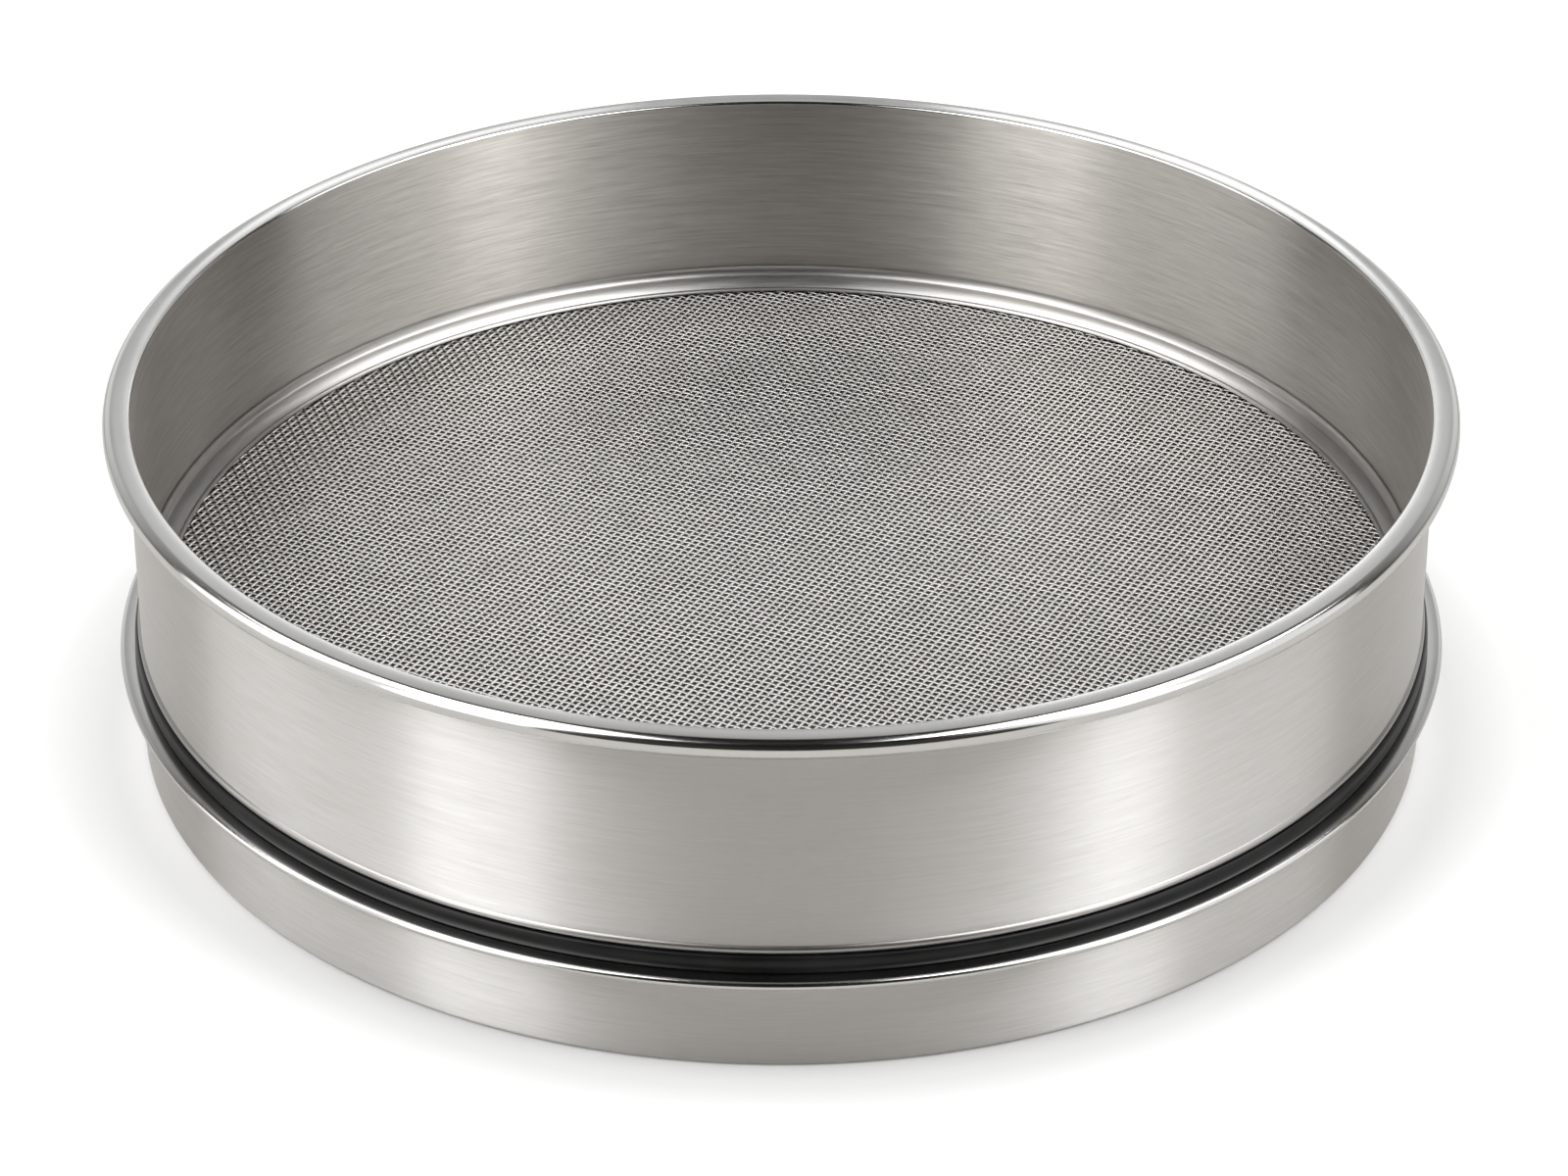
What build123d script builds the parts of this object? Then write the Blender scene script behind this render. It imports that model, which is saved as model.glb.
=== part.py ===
from build123d import *
import os
from math import acos, degrees, sqrt

# A 300 mm test sieve nested in its shallow receiver, in millimetres.
# Z = 0 is the flat under the receiver, and the Z axis is the axis of every ring.

# Overall
BORE_RADIUS = 150.0
TOTAL_HEIGHT = 85.0
SHEET = 0.9

# Sieve frame: a brushed wall with a curl at the top and a closed hem at the foot
CURL_RADIUS = 2.65
CURL_CENTRE_RADIUS = 153.05
CURL_SWEEP = 220.0
LIP_RADIUS = 0.6
HEM_RADIUS = 1.1
HEM_CENTRE_RADIUS = 150.55
FOOT_HEIGHT = 28.8
FOOT_ROUND = 0.5

# Woven cloth, held flat at its edge
CLOTH_MIDDLE_HEIGHT = 33.0
CLOTH_THICKNESS = 1.26
CLOTH_RADIUS = 149.2
CLOTH_OPEN_RADIUS = 143.9
WIRES_ACROSS = 31
WIRE_WIDTH = 2.4
WIRE_HEIGHT = 0.85
WIRES_PER_GAP = 3
MESHES_IN_GAP = 2
GAP_LIMIT_RADIUS = 133.5
WEAVE_ANGLE = -28.0

# Retaining ring on top of the cloth
RING_INNER_RADIUS = 144.1
RING_HEIGHT = 4.6
RING_FEATHER = 0.25

# Skirt under the cloth, which centres the sieve in whatever it is nested in
SKIRT_RADIUS = 149.6
SKIRT_LEDGE_RADIUS = 144.6
SKIRT_BOTTOM = 14.0
SKIRT_JOGGLE_TOP = 30.2
SKIRT_JOGGLE_BOTTOM = 29.2
SKIRT_LEAD_IN = 0.8
SKIRT_LEAD_IN_HEIGHT = 1.6

# Sealing ring round the skirt
SEAL_RADIUS = 152.5
SEAL_CORNER_RADIUS = 151.7

# Receiver: a shallow drawn pan with a hemmed flange
PAN_SHEET = 1.0
PAN_RADIUS = 151.6
PAN_FLANGE_HEIGHT = 24.5
PAN_FLANGE_RADIUS = 156.0
PAN_HEM_LENGTH = 1.8
PAN_CORNER_RADIUS = 1.4
PAN_MOUTH_ROUND = 0.4


def turned(section):
    """A ring or pan from its half section, drawn with radius across and height up."""
    return revolve(Plane.XZ * section, Axis.Z)


def sieve_frame():
    """One sheet: foot hem, straight wall, flat land and a curl that nearly closes."""
    outer_radius = BORE_RADIUS + SHEET
    curl_centre = (CURL_CENTRE_RADIUS, TOTAL_HEIGHT - CURL_RADIUS)
    hem_centre = (HEM_CENTRE_RADIUS, FOOT_HEIGHT + HEM_RADIUS)
    hem_start = degrees(acos((outer_radius - HEM_CENTRE_RADIUS) / HEM_RADIUS))
    foot_centre = (BORE_RADIUS + FOOT_ROUND, FOOT_HEIGHT + FOOT_ROUND)
    lip_centre = (BORE_RADIUS + LIP_RADIUS, TOTAL_HEIGHT - LIP_RADIUS)
    under_land = TOTAL_HEIGHT - SHEET

    foot = CenterArc(foot_centre, FOOT_ROUND, 270, -90)
    lip = CenterArc(lip_centre, LIP_RADIUS, 180, -90)
    curl_outside = CenterArc(curl_centre, CURL_RADIUS, 90, -CURL_SWEEP)
    curl_inside = CenterArc(curl_centre, CURL_RADIUS - SHEET, 90 - CURL_SWEEP, CURL_SWEEP)
    hem = CenterArc(hem_centre, HEM_RADIUS, hem_start, -90 - hem_start)
    outline = [
        foot,
        Line(foot @ 1, lip @ 0),
        lip,
        Line(lip @ 1, curl_outside @ 0),
        curl_outside,
        Line(curl_outside @ 1, curl_inside @ 0),
        curl_inside,
        Polyline(curl_inside @ 1, (outer_radius, under_land), hem @ 0),
        hem,
        Line(hem @ 1, foot @ 0),
    ]
    return turned(make_face(Curve() + outline))


def retaining_ring():
    """A polished bead: a cove against the wall, a round shoulder and a thin toe on the cloth."""
    base = CLOTH_MIDDLE_HEIGHT + CLOTH_THICKNESS / 2
    top = base + RING_HEIGHT
    shoulder = (BORE_RADIUS - 1.5, base + 2.35)
    neck = (RING_INNER_RADIUS + 1.1, base + 0.62)

    cove = ThreePointArc((BORE_RADIUS - RING_FEATHER, top), (BORE_RADIUS - 0.62, base + 3.25), shoulder)
    bead = ThreePointArc(shoulder, (BORE_RADIUS - 3.2, base + 1.75), neck)
    toe = ThreePointArc(neck, (RING_INNER_RADIUS + 0.35, base + 0.48), (RING_INNER_RADIUS, base))
    outline = [
        Polyline((BORE_RADIUS, base), (BORE_RADIUS, top), cove @ 0),
        cove,
        bead,
        toe,
        Line(toe @ 1, (BORE_RADIUS, base)),
    ]
    return turned(make_face(Curve() + outline))


def comb(pitch, length, bottom, floor, top):
    """Half of the weave: parallel wires standing on a thin floor, and running along Y."""
    half_span = WIRES_ACROSS * pitch / 2
    outline = [(half_span, bottom), (-half_span, bottom), (-half_span, floor)]
    for wire in range(WIRES_ACROSS):
        crest = (wire + 0.5) * pitch - half_span
        outline += [(crest - WIRE_WIDTH / 2, floor), (crest, top), (crest + WIRE_WIDTH / 2, floor)]
    outline.append((half_span, floor))
    return Pos(0, length / 2, 0) * extrude(Plane.XZ * make_face(Polyline(*outline, close=True)), length)


def wire_cloth():
    """Woven cloth at a coarse pitch: pairs of crossing wires, with a gap between the pairs."""
    bottom = CLOTH_MIDDLE_HEIGHT - CLOTH_THICKNESS / 2
    top = bottom + CLOTH_THICKNESS
    floor = top - WIRE_HEIGHT
    pitch = 2 * CLOTH_OPEN_RADIUS / WIRES_ACROSS
    length = WIRES_ACROSS * pitch
    middle = Pos(0, 0, CLOTH_MIDDLE_HEIGHT)
    warp = comb(pitch, length, bottom, floor, top)
    weft = Rot(0, 0, 90) * warp
    cloth = (warp + weft) & middle * Cylinder(CLOTH_OPEN_RADIUS, CLOTH_THICKNESS)

    gap_width = MESHES_IN_GAP * pitch - WIRE_WIDTH
    gap_pitch = WIRES_PER_GAP * pitch
    gaps_across = 2 * (WIRES_ACROSS // 2 // WIRES_PER_GAP) + 1
    first_gap = -gap_pitch * (gaps_across - 1) / 2
    gaps = []
    for column in range(gaps_across):
        for row in range(gaps_across):
            x = first_gap + column * gap_pitch
            y = first_gap + row * gap_pitch
            if sqrt(x * x + y * y) < GAP_LIMIT_RADIUS:
                gaps.append(middle * Pos(x, y, 0) * Box(gap_width, gap_width, 2 * CLOTH_THICKNESS))
    cloth = cloth - gaps

    selvedge = Cylinder(CLOTH_RADIUS, CLOTH_THICKNESS) - Cylinder(CLOTH_OPEN_RADIUS, CLOTH_THICKNESS)
    return Rot(0, 0, WEAVE_ANGLE) * (cloth + middle * selvedge)


def skirt_ring():
    """One sheet: a ledge under the cloth, a seat in the frame's wall, then the nesting skirt."""
    half = SHEET / 2
    ledge = CLOTH_MIDDLE_HEIGHT - CLOTH_THICKNESS / 2 - half
    seat_radius = BORE_RADIUS - half
    skirt_radius = SKIRT_RADIUS - half
    middle_line = Polyline(
        (SKIRT_LEDGE_RADIUS, ledge),
        (seat_radius, ledge),
        (seat_radius, SKIRT_JOGGLE_TOP),
        (skirt_radius, SKIRT_JOGGLE_BOTTOM),
        (skirt_radius, SKIRT_BOTTOM + SKIRT_LEAD_IN_HEIGHT),
        (skirt_radius - SKIRT_LEAD_IN, SKIRT_BOTTOM),
    )
    return turned(trace(middle_line, SHEET))


def sealing_ring():
    """A moulded ring with a flat back on the skirt and a bulging face."""
    face = ThreePointArc(
        (SEAL_CORNER_RADIUS, PAN_FLANGE_HEIGHT),
        (SEAL_RADIUS, (PAN_FLANGE_HEIGHT + FOOT_HEIGHT) / 2),
        (SEAL_CORNER_RADIUS, FOOT_HEIGHT),
    )
    back = Polyline(face @ 1, (SKIRT_RADIUS, FOOT_HEIGHT), (SKIRT_RADIUS, PAN_FLANGE_HEIGHT), face @ 0)
    return turned(make_face(Curve() + [face, back]))


def receiver_pan():
    """One drawn sheet: flat bottom, upright wall, and a flange with its edge folded under."""
    inner_radius = PAN_RADIUS - PAN_SHEET
    under_flange = PAN_FLANGE_HEIGHT - PAN_SHEET
    hem_centre = (PAN_FLANGE_RADIUS - PAN_SHEET, under_flange)
    hem_end = hem_centre[0] - PAN_HEM_LENGTH
    inner_corner = PAN_CORNER_RADIUS - PAN_SHEET
    corner_centre = (PAN_RADIUS - PAN_CORNER_RADIUS, PAN_CORNER_RADIUS)
    mouth_centre = (inner_radius + PAN_MOUTH_ROUND, PAN_FLANGE_HEIGHT - PAN_MOUTH_ROUND)

    inside = CenterArc(corner_centre, inner_corner, 270, 90)
    mouth = CenterArc(mouth_centre, PAN_MOUTH_ROUND, 180, -90)
    hem = CenterArc(hem_centre, PAN_SHEET, 90, -180)
    outside = CenterArc(corner_centre, PAN_CORNER_RADIUS, 0, -90)
    outline = [
        Line((0, PAN_SHEET), inside @ 0),
        inside,
        Line(inside @ 1, mouth @ 0),
        mouth,
        Line(mouth @ 1, hem @ 0),
        hem,
        Polyline(
            hem @ 1,
            (hem_end, under_flange - PAN_SHEET),
            (hem_end, under_flange),
            (PAN_RADIUS, under_flange),
            outside @ 0,
        ),
        outside,
        Polyline(outside @ 1, (0, 0), (0, PAN_SHEET)),
    ]
    return turned(make_face(Curve() + outline))


PARTS = {
    "sieve_frame": sieve_frame(),
    "retaining_ring": retaining_ring(),
    "wire_cloth": wire_cloth(),
    "skirt_ring": skirt_ring(),
    "sealing_ring": sealing_ring(),
    "receiver_pan": receiver_pan(),
}

os.makedirs("parts", exist_ok=True)
for name, shape in PARTS.items():
    export_step(shape, "parts/" + name + ".step")
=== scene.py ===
from math import atan2, cos, degrees, hypot, pi, radians, sin, sqrt

import bmesh
import bpy
from mathutils import Matrix, Vector, noise


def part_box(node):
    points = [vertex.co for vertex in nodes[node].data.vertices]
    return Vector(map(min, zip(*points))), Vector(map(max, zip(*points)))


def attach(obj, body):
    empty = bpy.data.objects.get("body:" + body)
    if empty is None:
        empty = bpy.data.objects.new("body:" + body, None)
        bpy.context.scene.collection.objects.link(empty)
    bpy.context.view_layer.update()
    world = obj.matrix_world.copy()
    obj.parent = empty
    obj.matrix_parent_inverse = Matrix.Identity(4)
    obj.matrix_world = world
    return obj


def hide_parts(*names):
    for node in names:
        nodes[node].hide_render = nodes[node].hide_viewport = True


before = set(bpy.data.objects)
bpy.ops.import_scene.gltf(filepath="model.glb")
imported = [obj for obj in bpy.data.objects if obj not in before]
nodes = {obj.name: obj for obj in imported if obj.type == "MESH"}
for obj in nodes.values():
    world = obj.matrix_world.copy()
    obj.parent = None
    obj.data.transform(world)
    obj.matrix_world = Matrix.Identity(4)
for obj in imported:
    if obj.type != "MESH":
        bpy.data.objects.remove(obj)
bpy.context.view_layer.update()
MM = 0.001


# ---------------------------------------------------------------- receiver pan
# A shallow pan drawn from one stainless sheet. Its wall and bottom are brushed round the pan,
# outside in bright steel and inside in a dark steel that is painted shade, and its flange is folded
# under at the edge and polished. The sieve stands in it on the sealing ring.

RING_STEPS = 360
SHARP_ANGLE = radians(32)
WELD = 0.002


def start_section(radius, height):
    """A mesh with one point, from which a half section is drawn, in millimetres."""
    drawing = bmesh.new()
    return drawing, drawing.verts.new((radius * MM, 0, height * MM))


def draw_to(drawing, point, radius, height):
    """Draws the section on in a straight line."""
    drawn = bmesh.ops.extrude_vert_indiv(drawing, verts=[point])["verts"][0]
    drawn.co = (radius * MM, 0, height * MM)
    return drawn


def draw_round(drawing, point, centre, turn, steps):
    """Draws the section on round a bend; a positive turn goes from outwards to upwards."""
    swept = bmesh.ops.spin(
        drawing, geom=[point], cent=(centre[0] * MM, 0, centre[1] * MM),
        axis=(0, -1, 0), angle=radians(turn), steps=steps,
    )
    return [part for part in swept["geom_last"] if isinstance(part, bmesh.types.BMVert)][0]


def draw_through(drawing, point, middle, end, steps):
    """Draws the section on along the arc that passes through a middle point to an end point."""
    start = Vector((point.co.x, point.co.z)) / MM
    first = Vector(middle) - start
    second = Vector(end) - start
    twist = first.cross(second)
    offset = Vector((
        second.y * first.length_squared - first.y * second.length_squared,
        first.x * second.length_squared - second.x * first.length_squared,
    )) / (2 * twist)
    centre = start + offset
    swing = (-offset).angle_signed(Vector(end) - centre)
    turn = degrees(-swing)
    if turn * twist < 0:
        turn += 360 if twist > 0 else -360
    return draw_round(drawing, point, centre, turn, steps)


def turn_ring(drawing, name):
    """Spins a section into a ring or a pan, and gives it soft shading with crisp corners."""
    bmesh.ops.remove_doubles(drawing, verts=drawing.verts, dist=WELD * MM)
    bmesh.ops.spin(
        drawing, geom=drawing.verts[:] + drawing.edges[:], cent=(0, 0, 0), axis=(0, 0, 1),
        angle=2 * pi, steps=RING_STEPS, use_merge=True,
    )
    bmesh.ops.remove_doubles(drawing, verts=drawing.verts, dist=WELD * MM)
    bmesh.ops.recalc_face_normals(drawing, faces=drawing.faces)
    for face in drawing.faces:
        face.smooth = True
    for edge in drawing.edges:
        edge.smooth = edge.calc_face_angle(0) < SHARP_ANGLE
    mesh = bpy.data.meshes.new(name)
    drawing.to_mesh(mesh)
    drawing.free()
    ring = bpy.data.objects.new(name, mesh)
    bpy.context.scene.collection.objects.link(ring)
    return ring


def link_all(tree, *links):
    """Joins sockets: each link is (node, output name, node, input name)."""
    for source, output, target, socket in links:
        tree.links.new(source.outputs[output], target.inputs[socket])


def brushed_grain():
    """Lines that a belt leaves round a turned wall: fine scratches on longer, softer bands."""
    group = bpy.data.node_groups.new("brushed grain", "ShaderNodeTree")
    face = group.interface
    face.new_socket("Line Length", in_out="INPUT", socket_type="NodeSocketFloat")
    face.new_socket("Line Width", in_out="INPUT", socket_type="NodeSocketFloat")
    face.new_socket("Lines", in_out="OUTPUT", socket_type="NodeSocketFloat")
    face.new_socket("Bands", in_out="OUTPUT", socket_type="NodeSocketFloat")
    entry = group.nodes.new("NodeGroupInput")
    leave = group.nodes.new("NodeGroupOutput")
    place = group.nodes.new("ShaderNodeTexCoord")
    along = group.nodes.new("ShaderNodeMath")
    along.operation = "DIVIDE"
    along.inputs[0].default_value = 1.0
    across = group.nodes.new("ShaderNodeMath")
    across.operation = "DIVIDE"
    across.inputs[0].default_value = 1.0
    stretch = group.nodes.new("ShaderNodeCombineXYZ")
    spread = group.nodes.new("ShaderNodeVectorMath")
    spread.operation = "MULTIPLY"
    lines = group.nodes.new("ShaderNodeTexNoise")
    lines.inputs["Scale"].default_value = 1.0
    lines.inputs["Detail"].default_value = 3.0
    lines.inputs["Roughness"].default_value = 0.7
    widen = group.nodes.new("ShaderNodeVectorMath")
    widen.operation = "MULTIPLY"
    widen.inputs[1].default_value = (0.4, 0.4, 0.25)
    bands = group.nodes.new("ShaderNodeTexNoise")
    bands.inputs["Scale"].default_value = 1.0
    bands.inputs["Detail"].default_value = 2.0
    link_all(
        group,
        (entry, "Line Length", along, 1),
        (entry, "Line Width", across, 1),
        (along, 0, stretch, "X"),
        (along, 0, stretch, "Y"),
        (across, 0, stretch, "Z"),
        (place, "Object", spread, 0),
        (stretch, 0, spread, 1),
        (spread, 0, lines, "Vector"),
        (spread, 0, widen, 0),
        (widen, 0, bands, "Vector"),
        (lines, "Fac", leave, "Lines"),
        (bands, "Fac", leave, "Bands"),
    )
    return group


GRAIN = brushed_grain()


def steel(name, dark, light, smooth, rough, line_length, line_width, relief, stretch):
    """Stainless steel whose grain runs round the ring, from dark and smooth to light and rough."""
    material = bpy.data.materials.new(name)
    material.use_nodes = True
    tree = material.node_tree
    surface = tree.nodes["Principled BSDF"]
    surface.inputs["Metallic"].default_value = 1.0
    surface.inputs["Anisotropic"].default_value = stretch
    surface.inputs["Anisotropic Rotation"].default_value = 0.25
    grain = tree.nodes.new("ShaderNodeGroup")
    grain.node_tree = GRAIN
    grain.inputs["Line Length"].default_value = line_length * MM
    grain.inputs["Line Width"].default_value = line_width * MM
    tone = tree.nodes.new("ShaderNodeValToRGB")
    tone.color_ramp.elements[0].position = 0.3
    tone.color_ramp.elements[0].color = (*dark, 1)
    tone.color_ramp.elements[1].position = 0.7
    tone.color_ramp.elements[1].color = (*light, 1)
    both = tree.nodes.new("ShaderNodeMath")
    both.operation = "MULTIPLY_ADD"
    both.inputs[1].default_value = 0.55
    half = tree.nodes.new("ShaderNodeMath")
    half.operation = "MULTIPLY"
    half.inputs[1].default_value = 0.45
    haze = tree.nodes.new("ShaderNodeMapRange")
    haze.inputs["From Min"].default_value = 0.3
    haze.inputs["From Max"].default_value = 0.7
    haze.inputs["To Min"].default_value = smooth
    haze.inputs["To Max"].default_value = rough
    scratch = tree.nodes.new("ShaderNodeBump")
    scratch.inputs["Strength"].default_value = 0.5
    scratch.inputs["Distance"].default_value = relief * MM
    tangent = tree.nodes.new("ShaderNodeTangent")
    tangent.direction_type = "RADIAL"
    tangent.axis = "Z"
    link_all(
        tree,
        (grain, "Bands", half, 0),
        (grain, "Lines", both, 0),
        (half, 0, both, 2),
        (both, 0, tone, "Fac"),
        (tone, "Color", surface, "Base Color"),
        (both, 0, haze, "Value"),
        (haze, "Result", surface, "Roughness"),
        (grain, "Lines", scratch, "Height"),
        (scratch, "Normal", surface, "Normal"),
        (tangent, "Tangent", surface, "Tangent"),
    )
    return material


BRUSHED = steel(
    "brushed steel", dark=(0.65, 0.64, 0.626), light=(0.78, 0.772, 0.758), smooth=0.34, rough=0.42,
    line_length=7, line_width=0.15, relief=0.005, stretch=1.0,
)
# Painted shade: the inside of the frame's wall is the same brushed steel made darker and a little warmer,
# standing for the shade inside the ring.
INNER_WALL_PAINTED_SHADE = steel(
    "brushed steel with painted shade inside", dark=(0.38, 0.362, 0.338), light=(0.595, 0.572, 0.54), smooth=0.33, rough=0.43,
    line_length=7, line_width=0.17, relief=0.006, stretch=1.0,
)
POLISHED = steel(
    "polished steel", dark=(0.60, 0.60, 0.592), light=(0.70, 0.698, 0.69), smooth=0.11, rough=0.17,
    line_length=30, line_width=0.2, relief=0.0005, stretch=0.3,
)
SATIN = steel(
    "satin steel", dark=(0.33, 0.323, 0.312), light=(0.45, 0.442, 0.43), smooth=0.27, rough=0.37,
    line_length=12, line_width=0.2, relief=0.002, stretch=0.5,
)
# Painted shade: a dark steel for the pan's inside and the skirt, standing for the shade under the cloth
# that the openings show.
SHADED = steel(
    "steel with painted shade", dark=(0.19, 0.183, 0.172), light=(0.22, 0.212, 0.199), smooth=0.45, rough=0.55,
    line_length=20, line_width=0.6, relief=0.004, stretch=0.4,
)


def dress(ring, finish):
    """Gives each face the steel that finish(radius, height) names, in millimetres."""
    for material in (BRUSHED, INNER_WALL_PAINTED_SHADE, POLISHED, SATIN, SHADED):
        ring.data.materials.append(material)
    for face in ring.data.polygons:
        radius = hypot(face.center.x, face.center.y) / MM
        chosen = finish(radius, face.center.z / MM)
        face.material_index = (BRUSHED, INNER_WALL_PAINTED_SHADE, POLISHED, SATIN, SHADED).index(chosen)


def pan_finish(radius, height):
    """The flange is polished, the outside is brushed, and the inside is dark steel painted as shade."""
    if height > flange_top - flange_depth and radius > pan_radius:
        return POLISHED
    if radius > pan_radius - pan_sheet / 2 or height < pan_sheet / 2:
        return BRUSHED
    return SHADED


PAN_LOW, PAN_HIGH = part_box("receiver_pan")
flange_top = PAN_HIGH.z / MM
flange_radius = PAN_HIGH.x / MM
pan_sheet = 1.0
pan_radius = 151.6
pan_corner = 1.4
mouth_round = 0.4
hem_length = 1.8
flange_depth = 2.2
hem_middle = (flange_radius - pan_sheet, flange_top - pan_sheet)
hem_end = hem_middle[0] - hem_length
under_flange = flange_top - pan_sheet

section, pen = start_section(0, pan_sheet)
pen = draw_to(section, pen, pan_radius - pan_corner, pan_sheet)
pen = draw_round(section, pen, (pan_radius - pan_corner, pan_corner), 90, 3)
pen = draw_to(section, pen, pan_radius - pan_sheet, flange_top - mouth_round)
pen = draw_round(section, pen, (pan_radius - pan_sheet + mouth_round, flange_top - mouth_round), -90, 4)
pen = draw_to(section, pen, hem_middle[0], flange_top)
pen = draw_round(section, pen, hem_middle, -180, 14)
pen = draw_to(section, pen, hem_end, under_flange - pan_sheet)
pen = draw_to(section, pen, hem_end, under_flange)
pen = draw_to(section, pen, pan_radius, under_flange)
pen = draw_to(section, pen, pan_radius, pan_corner)
pen = draw_round(section, pen, (pan_radius - pan_corner, pan_corner), -90, 6)
draw_to(section, pen, 0, 0)
pan = turn_ring(section, "drawn_pan")
dress(pan, pan_finish)
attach(pan, "root")
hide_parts("receiver_pan")


# ---------------------------------------------------------------- sealing ring
# A moulded black rubber ring round the skirt. Its flat back grips the skirt, and its
# bulging face shows between the frame's foot and the pan's flange, which pinch it.

SEAL_LOW, SEAL_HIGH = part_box("sealing_ring")
seal_bottom = SEAL_LOW.z / MM
seal_top = SEAL_HIGH.z / MM
seal_face = SEAL_HIGH.x / MM
seal_back = 149.6
seal_edge = 151.5
seal_round = 0.7
bulge_steps = 10


def satin_rubber():
    """Black rubber with a faint bloom and a moulded skin."""
    material = bpy.data.materials.new("satin rubber")
    material.use_nodes = True
    tree = material.node_tree
    surface = tree.nodes["Principled BSDF"]
    surface.inputs["Specular IOR Level"].default_value = 0.22
    place = tree.nodes.new("ShaderNodeTexCoord")
    bloom = tree.nodes.new("ShaderNodeTexNoise")
    bloom.inputs["Scale"].default_value = 60.0
    bloom.inputs["Detail"].default_value = 4.0
    skin = tree.nodes.new("ShaderNodeTexNoise")
    skin.inputs["Scale"].default_value = 2200.0
    skin.inputs["Detail"].default_value = 2.0
    shade = tree.nodes.new("ShaderNodeValToRGB")
    shade.color_ramp.elements[0].position = 0.35
    shade.color_ramp.elements[0].color = (0.004, 0.004, 0.004, 1)
    shade.color_ramp.elements[1].position = 0.7
    shade.color_ramp.elements[1].color = (0.012, 0.012, 0.0125, 1)
    haze = tree.nodes.new("ShaderNodeMapRange")
    haze.inputs["To Min"].default_value = 0.24
    haze.inputs["To Max"].default_value = 0.38
    grain = tree.nodes.new("ShaderNodeBump")
    grain.inputs["Strength"].default_value = 0.25
    grain.inputs["Distance"].default_value = 0.03 * MM
    link_all(
        tree,
        (place, "Object", bloom, "Vector"),
        (place, "Object", skin, "Vector"),
        (bloom, "Fac", shade, "Fac"),
        (shade, "Color", surface, "Base Color"),
        (bloom, "Fac", haze, "Value"),
        (haze, "Result", surface, "Roughness"),
        (skin, "Fac", grain, "Height"),
        (grain, "Normal", surface, "Normal"),
    )
    return material


section, pen = start_section(seal_back, seal_bottom)
first = pen
pen = draw_to(section, pen, seal_edge, seal_bottom)
pen = draw_round(section, pen, (seal_edge, seal_bottom + seal_round), 60, 5)
chord = seal_top - seal_bottom - 2 * (pen.co.z / MM - seal_bottom)
rise = seal_face - pen.co.x / MM
bulge_radius = (chord * chord / 4 + rise * rise) / (2 * rise)
bulge_angle = 2 * degrees(atan2(chord / 2, bulge_radius - rise))
bulge_centre = (seal_face - bulge_radius, (seal_top + seal_bottom) / 2)
pen = draw_round(section, pen, bulge_centre, bulge_angle, bulge_steps)
pen = draw_round(section, pen, (seal_edge, seal_top - seal_round), 60, 5)
pen = draw_to(section, pen, seal_back, seal_top)
section.edges.new((pen, first))
seal = turn_ring(section, "rubber_seal")
seal.data.materials.append(satin_rubber())
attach(seal, "root")
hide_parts("sealing_ring")


# ---------------------------------------------------------------- skirt ring
# The stainless ring under the cloth. It is pressed into the frame's foot, carries the
# cloth on its ledge, and hides inside the pan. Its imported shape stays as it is.

skirt = nodes["skirt_ring"]
# Painted shade: the skirt takes the dark steel of the pan's inside, so that it looks as shaded as the pan
# under the cloth.
skirt.data.materials.clear()
skirt.data.materials.append(SHADED)


# ---------------------------------------------------------------- wire cloth
# Plain-woven stainless wire at a 1.81 mm pitch, rolled flat and stretched over the
# ledge. Each set of wires runs over and under the other, and is made as two halves.
# The warp is pulled nearly straight, so the weft bends round it.

CLOTH_LOW, CLOTH_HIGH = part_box("wire_cloth")
wire_pitch = 1.81
wire_width = 0.80
wire_height = 0.44
warp_wave = 0.09
weft_wave = 0.13
cloth_middle = (CLOTH_LOW.z + CLOTH_HIGH.z) / 2 / MM
wire_sides = 6
cloth_radius = 147.4
weave_turn = radians(-28)
drift = 0.22
drifts_per_metre = 90
drift_seed = 5
wire_weld = 0.01


def drawn_wire(name, dark, light):
    """Drawn wire whose colour wanders at random between a dark and a light tone; the warp gets a light
    pair as painted light and the weft a dark pair as painted shade.
    """
    material = bpy.data.materials.new(name)
    material.use_nodes = True
    tree = material.node_tree
    surface = tree.nodes["Principled BSDF"]
    surface.inputs["Metallic"].default_value = 1.0
    place = tree.nodes.new("ShaderNodeTexCoord")
    patch = tree.nodes.new("ShaderNodeTexNoise")
    patch.inputs["Scale"].default_value = 160.0
    patch.inputs["Detail"].default_value = 3.0
    speck = tree.nodes.new("ShaderNodeTexNoise")
    speck.inputs["Scale"].default_value = 900.0
    speck.inputs["Detail"].default_value = 2.0
    mix = tree.nodes.new("ShaderNodeMath")
    mix.operation = "MULTIPLY"
    tone = tree.nodes.new("ShaderNodeValToRGB")
    tone.color_ramp.elements[0].position = 0.12
    tone.color_ramp.elements[0].color = (*dark, 1)
    tone.color_ramp.elements[1].position = 0.42
    tone.color_ramp.elements[1].color = (*light, 1)
    haze = tree.nodes.new("ShaderNodeMapRange")
    haze.inputs["To Min"].default_value = 0.30
    haze.inputs["To Max"].default_value = 0.44
    dent = tree.nodes.new("ShaderNodeBump")
    dent.inputs["Strength"].default_value = 0.2
    dent.inputs["Distance"].default_value = 0.02 * MM
    link_all(
        tree,
        (place, "Object", patch, "Vector"),
        (place, "Object", speck, "Vector"),
        (patch, "Fac", mix, 0),
        (speck, "Fac", mix, 1),
        (mix, 0, tone, "Fac"),
        (tone, "Color", surface, "Base Color"),
        (speck, "Fac", haze, "Value"),
        (haze, "Result", surface, "Roughness"),
        (speck, "Fac", dent, "Height"),
        (dent, "Normal", surface, "Normal"),
    )
    return material


def double(weave, step):
    """Lays a copy of everything beside itself."""
    copied = bmesh.ops.duplicate(weave, geom=weave.verts[:] + weave.edges[:] + weave.faces[:])
    verts = [part for part in copied["geom"] if isinstance(part, bmesh.types.BMVert)]
    bmesh.ops.translate(weave, verts=verts, vec=step)


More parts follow.
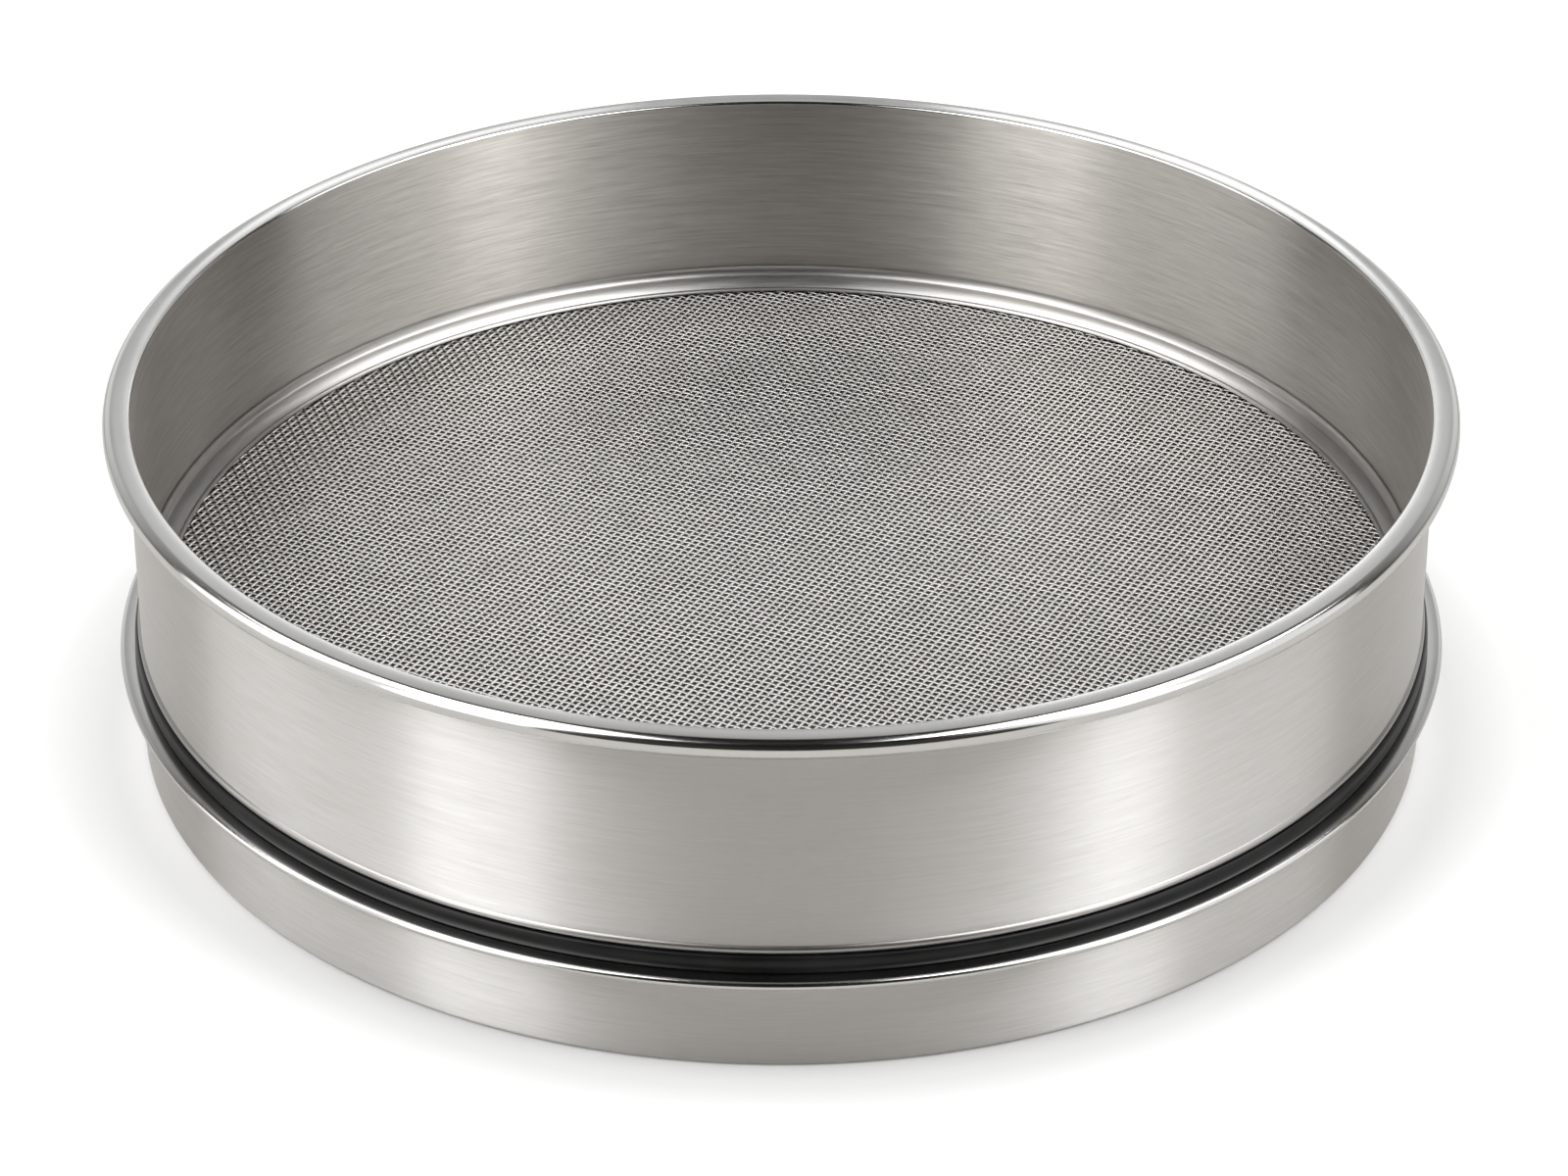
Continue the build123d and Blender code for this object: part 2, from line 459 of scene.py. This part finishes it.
def wire_set(name, turn, side, wave):
    """Half of one set of wires: it fills the round on one side of the middle wire."""
    weave = bmesh.new()
    ring = bmesh.ops.create_circle(weave, segments=wire_sides, radius=wire_width / 2 * MM, cap_ends=False)
    bmesh.ops.scale(weave, verts=ring["verts"], vec=(wire_height / wire_width, 1, 1))
    bmesh.ops.rotate(weave, verts=ring["verts"], cent=(0, 0, 0), matrix=Matrix.Rotation(pi / 2, 3, "Y"))
    bmesh.ops.translate(weave, verts=ring["verts"], vec=(wire_pitch / 2 * MM, 0, wave * side * MM))
    for rise in (-2 * wave * side, 2 * wave * side):
        edges = [edge for edge in weave.edges if edge.is_wire or edge.is_boundary]
        front = max(vert.co.x for vert in weave.verts)
        at_front = front - wire_weld * MM
        leading = [edge for edge in edges if all(vert.co.x > at_front for vert in edge.verts)]
        grown = bmesh.ops.extrude_edge_only(weave, edges=leading)["geom"]
        verts = [part for part in grown if isinstance(part, bmesh.types.BMVert)]
        bmesh.ops.translate(weave, verts=verts, vec=(wire_pitch * MM, 0, rise * MM))
    period = 2 * wire_pitch * MM
    length = period
    while length < 2 * cloth_radius * MM + 2 * period:
        double(weave, (length, 0, 0))
        length *= 2
    bmesh.ops.translate(weave, verts=weave.verts, vec=(-length / 2, 0, 0))
    too_long = [vert for vert in weave.verts if abs(vert.co.x) > (cloth_radius + 2 * wire_pitch) * MM]
    bmesh.ops.delete(weave, geom=too_long, context="VERTS")
    bmesh.ops.remove_doubles(weave, verts=weave.verts, dist=wire_weld * MM)
    # The next wire is half a wave on, so that it passes over where this one passes under.
    double(weave, (wire_pitch * MM, wire_pitch * MM, 0))
    width = 2 * wire_pitch * MM
    while width < cloth_radius * MM:
        double(weave, (0, width, 0))
        width *= 2
    for vert in weave.verts:
        vert.co.y = (vert.co.y + wire_pitch / 2 * MM) * side
    outside = [vert for vert in weave.verts if hypot(vert.co.x, vert.co.y) > cloth_radius * MM]
    bmesh.ops.delete(weave, geom=outside, context="VERTS")
    bmesh.ops.rotate(weave, verts=weave.verts, cent=(0, 0, 0), matrix=Matrix.Rotation(turn, 3, "Z"))
    for vert in weave.verts:
        sway = noise.noise_vector(vert.co * drifts_per_metre) * drift * MM
        vert.co.x += sway.x
        vert.co.y += sway.y
        vert.co.z += cloth_middle * MM
    bmesh.ops.recalc_face_normals(weave, faces=weave.faces)
    for face in weave.faces:
        face.smooth = True
    mesh = bpy.data.meshes.new(name)
    weave.to_mesh(mesh)
    weave.free()
    wires = bpy.data.objects.new(name, mesh)
    bpy.context.scene.collection.objects.link(wires)
    return wires


# Painted light and shade: both sets are the same stainless wire; the warp is painted bright and the weft
# dark, after how the light falls on each.
PAINTED_LIGHT_WARP = drawn_wire("warp wire with painted light", dark=(0.93, 0.917, 0.896), light=(0.99, 0.978, 0.96))
PAINTED_SHADE_WEFT = drawn_wire("weft wire with painted shade", dark=(0.37, 0.362, 0.35), light=(0.50, 0.49, 0.476))
noise.seed_set(drift_seed)
for name, turn, side, wave, metal in (
    ("warp_wires_1", weave_turn + pi / 2, 1, warp_wave, PAINTED_LIGHT_WARP),
    ("warp_wires_2", weave_turn + pi / 2, -1, warp_wave, PAINTED_LIGHT_WARP),
    ("weft_wires_1", weave_turn, 1, weft_wave, PAINTED_SHADE_WEFT),
    ("weft_wires_2", weave_turn, -1, weft_wave, PAINTED_SHADE_WEFT),
):
    wires = wire_set(name, turn, side, wave)
    wires.data.materials.append(metal)
    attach(wires, "root")
    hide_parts("wire_cloth")


# ---------------------------------------------------------------- retaining ring
# A turned ring with a satin finish, pressed in on top of the cloth. A cove runs into the
# wall, a round bead catches the light, and a thin toe lies on the wires.

RING_LOW, RING_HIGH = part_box("retaining_ring")
ring_base = RING_LOW.z / MM
ring_top = RING_HIGH.z / MM
ring_groove = 1.0
ring_feather = 149.7
cove_middle = (149.38, 36.88)
cove_end = (148.5, 35.98)
bead_crown = (146.8, 35.38)
bead_end = (145.2, 34.25)
toe_middle = (144.45, 34.11)
toe_radius = 144.1
wall_radius = 150.0

section, pen = start_section(wall_radius, ring_base)
first = pen
pen = draw_to(section, pen, wall_radius, ring_top - ring_groove)
pen = draw_to(section, pen, ring_feather, ring_top - ring_groove)
pen = draw_to(section, pen, ring_feather, ring_top)
pen = draw_through(section, pen, cove_middle, cove_end, 8)
pen = draw_through(section, pen, bead_crown, bead_end, 12)
pen = draw_through(section, pen, toe_middle, (toe_radius, ring_base), 5)
section.edges.new((pen, first))
retainer = turn_ring(section, "polished_ring")
retainer.data.materials.append(SATIN)
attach(retainer, "root")
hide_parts("retaining_ring")


# ---------------------------------------------------------------- sieve frame
# One stainless sheet rolled into a ring. The wall is brushed round the ring, the top is
# turned out into a polished land and a curl, and the foot is folded into a small hem.

FRAME_LOW, FRAME_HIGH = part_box("sieve_frame")
foot = FRAME_LOW.z / MM
rim = FRAME_HIGH.z / MM
sheet = 0.9
curl_radius = 2.1
curl_centre = (154.3, rim - curl_radius)
curl_drop = 0.4
curl_turn = 235
lip_round = 0.6
foot_round = 0.5
foot_hem = 1.1
foot_hem_centre = (150.55, foot + foot_hem)
finish_margin = 0.02

section, pen = start_section(wall_radius, foot + foot_round)
pen = draw_to(section, pen, wall_radius, rim - lip_round)
pen = draw_round(section, pen, (wall_radius + lip_round, rim - lip_round), -90, 6)
pen = draw_to(section, pen, curl_centre[0], rim)
pen = draw_round(section, pen, curl_centre, -90, 12)
curl_lower = (curl_centre[0], curl_centre[1] - curl_drop)
pen = draw_to(section, pen, curl_lower[0] + curl_radius, curl_lower[1])
pen = draw_round(section, pen, curl_lower, 90 - curl_turn, 16)
curl_inside = curl_radius - sheet
inner_end = radians(90 - curl_turn)
lip_radius = curl_lower[0] + curl_inside * cos(inner_end)
lip_height = curl_lower[1] + curl_inside * sin(inner_end)
pen = draw_to(section, pen, lip_radius, lip_height)
pen = draw_round(section, pen, curl_lower, curl_turn - 90, 12)
pen = draw_to(section, pen, curl_centre[0] + curl_inside, curl_centre[1])
pen = draw_round(section, pen, curl_centre, 90, 8)
pen = draw_to(section, pen, wall_radius + sheet, rim - sheet)
hem_reach = wall_radius + sheet - foot_hem_centre[0]
hem_rise = sqrt(foot_hem * foot_hem - hem_reach * hem_reach)
pen = draw_to(section, pen, wall_radius + sheet, foot_hem_centre[1] + hem_rise)
pen = draw_round(section, pen, foot_hem_centre, -90 - degrees(atan2(hem_rise, hem_reach)), 14)
pen = draw_to(section, pen, wall_radius + foot_round, foot)
draw_round(section, pen, (wall_radius + foot_round, foot + foot_round), -90, 4)
shell = turn_ring(section, "rolled_frame")


def frame_finish(radius, height):
    """The rolled rim is polished, the foot is satin, and the inside of the wall is painted darker as
    shade.
    """
    if height < foot_hem_centre[1] + hem_rise:
        return SATIN
    if height > rim - lip_round or radius > wall_radius + sheet + finish_margin:
        return POLISHED
    if radius > wall_radius + sheet / 2:
        return BRUSHED
    return INNER_WALL_PAINTED_SHADE


dress(shell, frame_finish)
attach(shell, "root")
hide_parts("sieve_frame")


# ---------------------------------------------------------------- floor, lights and camera
# A white floor that keeps the object's shadow, tall soft boxes and strips on either side,
# a high box over each side, small panels behind, and a white backdrop behind the object only.

FLOOR_SIZE = 12.0
CAMERA_PITCH = 30.77
CAMERA_DISTANCE = 1.1945
CAMERA_RISE = -0.04783
CAMERA_SHIFT = 0.00063
CAMERA_LENS = 118.48


def white_floor():
    """Matt white that takes the object's shadow, and glows more and more further out, so that a band of
    painted shadow hugs the object's foot.
    """
    material = bpy.data.materials.new("white floor")
    material.use_nodes = True
    tree = material.node_tree
    surface = tree.nodes["Principled BSDF"]
    surface.inputs["Roughness"].default_value = 0.9
    surface.inputs["Specular IOR Level"].default_value = 0.0
    surface.inputs["Emission Color"].default_value = (1, 1, 1, 1)
    path = tree.nodes.new("ShaderNodeLightPath")
    paint = tree.nodes.new("ShaderNodeValToRGB")
    paint.color_ramp.elements[0].color = (0.53, 0.518, 0.497, 1)
    paint.color_ramp.elements[1].color = (0.70, 0.70, 0.70, 1)
    place = tree.nodes.new("ShaderNodeTexCoord")
    reach = tree.nodes.new("ShaderNodeVectorMath")
    reach.operation = "LENGTH"
    # Painted shadow: the camera-only glow is weakest within 160 mm of the middle and rises by 176 mm, so a
    # band of shade hugs the object's foot.
    outward = tree.nodes.new("ShaderNodeMapRange")
    outward.inputs["From Min"].default_value = 0.160
    outward.inputs["From Max"].default_value = 0.176
    outward.inputs["To Min"].default_value = 0.07
    outward.inputs["To Max"].default_value = 0.25
    horizon = tree.nodes.new("ShaderNodeMapRange")
    horizon.inputs["From Min"].default_value = 0.8
    horizon.inputs["From Max"].default_value = 1.6
    stronger = tree.nodes.new("ShaderNodeMath")
    stronger.operation = "MAXIMUM"
    lift = tree.nodes.new("ShaderNodeMath")
    lift.operation = "MULTIPLY"
    link_all(
        tree,
        (path, "Is Camera Ray", paint, "Fac"),
        (paint, "Color", surface, "Base Color"),
        (place, "Object", reach, 0),
        (reach, "Value", outward, "Value"),
        (path, "Is Camera Ray", lift, 0),
        (reach, "Value", horizon, "Value"),
        (outward, "Result", stronger, 0),
        (horizon, "Result", stronger, 1),
        (stronger, 0, lift, 1),
        (lift, 0, surface, "Emission Strength"),
    )
    return material


ground = bmesh.new()
bmesh.ops.create_grid(ground, x_segments=1, y_segments=1, size=FLOOR_SIZE / 2)
floor_mesh = bpy.data.meshes.new("floor")
ground.to_mesh(floor_mesh)
ground.free()
floor = bpy.data.objects.new("floor", floor_mesh)
floor.data.materials.append(white_floor())
bpy.context.scene.collection.objects.link(floor)


def soft_box(name, azimuth, elevation, distance, width, height, power):
    """A rectangular lamp that faces the object; azimuth 0 is on the camera's side."""
    lamp = bpy.data.lights.new(name, "AREA")
    lamp.shape = "RECTANGLE"
    lamp.size = width
    lamp.size_y = height
    lamp.energy = power
    holder = bpy.data.objects.new(name, lamp)
    turn = radians(azimuth)
    lift = radians(elevation)
    away = Vector((sin(turn) * cos(lift), -cos(turn) * cos(lift), sin(lift)))
    holder.location = away * distance
    holder.rotation_euler = (-away).to_track_quat("-Z", "Y").to_euler()
    bpy.context.scene.collection.objects.link(holder)


soft_box("left front box", azimuth=-48, elevation=28, distance=1.8, width=0.74, height=2.0, power=10)
soft_box("left strip", azimuth=-56, elevation=24, distance=1.75, width=0.35, height=1.6, power=2)
soft_box("left middle box", azimuth=-70, elevation=22, distance=1.8, width=0.60, height=1.8, power=3)
soft_box("left back box", azimuth=-92, elevation=24, distance=1.8, width=0.80, height=2.0, power=8)
soft_box("right box", azimuth=70, elevation=24, distance=1.8, width=2.0, height=1.9, power=13)
soft_box("right strip", azimuth=56, elevation=22, distance=1.75, width=0.45, height=1.6, power=4.5)
soft_box("high left box", azimuth=-90, elevation=64, distance=1.8, width=1.7, height=0.9, power=20)
soft_box("high right box", azimuth=90, elevation=64, distance=1.8, width=1.7, height=0.9, power=24)
soft_box("left rim panel", azimuth=-173, elevation=28, distance=1.83, width=0.22, height=0.15, power=0.14)
soft_box("right rim panel", azimuth=173, elevation=28, distance=1.83, width=0.22, height=0.15, power=0.20)
soft_box("back panel", azimuth=180, elevation=36, distance=2.0, width=0.9, height=0.4, power=0.35)

world = bpy.data.worlds.new("studio")
bpy.context.scene.world = world
world.use_nodes = True
sky = world.node_tree
background = sky.nodes["Background"]
background.inputs["Color"].default_value = (1, 1, 1, 1)
look = sky.nodes.new("ShaderNodeTexCoord")
split = sky.nodes.new("ShaderNodeSeparateXYZ")
behind = sky.nodes.new("ShaderNodeMapRange")
behind.inputs["From Min"].default_value = 0.3
behind.inputs["From Max"].default_value = 1.0
behind.inputs["To Min"].default_value = 0.05
behind.inputs["To Max"].default_value = 1.1
overhead = sky.nodes.new("ShaderNodeMapRange")
overhead.interpolation_type = "SMOOTHSTEP"
overhead.inputs["From Min"].default_value = 0.35
overhead.inputs["From Max"].default_value = 0.85
overhead.inputs["To Min"].default_value = 1.0
overhead.inputs["To Max"].default_value = 0.03
sideways = sky.nodes.new("ShaderNodeMath")
sideways.operation = "ABSOLUTE"
gap = sky.nodes.new("ShaderNodeMapRange")
gap.inputs["From Min"].default_value = 0.08
gap.inputs["From Max"].default_value = 0.35
gap.inputs["To Min"].default_value = 0.55
gap.inputs["To Max"].default_value = 1.0
dimmed = sky.nodes.new("ShaderNodeMath")
dimmed.operation = "MULTIPLY"
glow = sky.nodes.new("ShaderNodeMath")
glow.operation = "MULTIPLY"
tint = sky.nodes.new("ShaderNodeValToRGB")
tint.color_ramp.elements[0].position = 0.05
tint.color_ramp.elements[0].color = (1.0, 0.90, 0.80, 1)
tint.color_ramp.elements[1].position = 0.4
tint.color_ramp.elements[1].color = (1, 1, 1, 1)
path = sky.nodes.new("ShaderNodeLightPath")
choose = sky.nodes.new("ShaderNodeMix")
choose.data_type = "FLOAT"
choose.inputs[3].default_value = 1.0
whiten = sky.nodes.new("ShaderNodeMix")
whiten.data_type = "RGBA"
whiten.inputs[7].default_value = (1, 1, 1, 1)
link_all(
    sky,
    (look, "Generated", split, 0),
    (split, "Y", behind, "Value"),
    (split, "Z", overhead, "Value"),
    (split, "X", sideways, 0),
    (sideways, 0, gap, "Value"),
    (behind, "Result", dimmed, 0),
    (overhead, "Result", dimmed, 1),
    (dimmed, 0, glow, 0),
    (gap, "Result", glow, 1),
    (glow, 0, tint, "Fac"),
    (path, "Is Camera Ray", choose, 0),
    (glow, 0, choose, 2),
    (choose, 0, background, "Strength"),
    (path, "Is Camera Ray", whiten, 0),
    (tint, "Color", whiten, 6),
    (whiten, 2, background, "Color"),
)

camera_data = bpy.data.cameras.new("camera")
camera_data.lens = CAMERA_LENS
camera_data.sensor_width = 36.0
camera_data.clip_start = 0.05
camera = bpy.data.objects.new("camera", camera_data)
pitch = radians(CAMERA_PITCH)
ahead = Vector((0, cos(pitch), -sin(pitch)))
upward = Vector((0, sin(pitch), cos(pitch)))
aim = Vector((0, 0, FRAME_HIGH.z))
camera.location = aim - ahead * CAMERA_DISTANCE + upward * CAMERA_RISE + Vector((CAMERA_SHIFT, 0, 0))
camera.rotation_euler = (pi / 2 - pitch, 0, 0)
bpy.context.scene.collection.objects.link(camera)
bpy.context.scene.camera = camera
bpy.context.scene.view_settings.view_transform = "Standard"
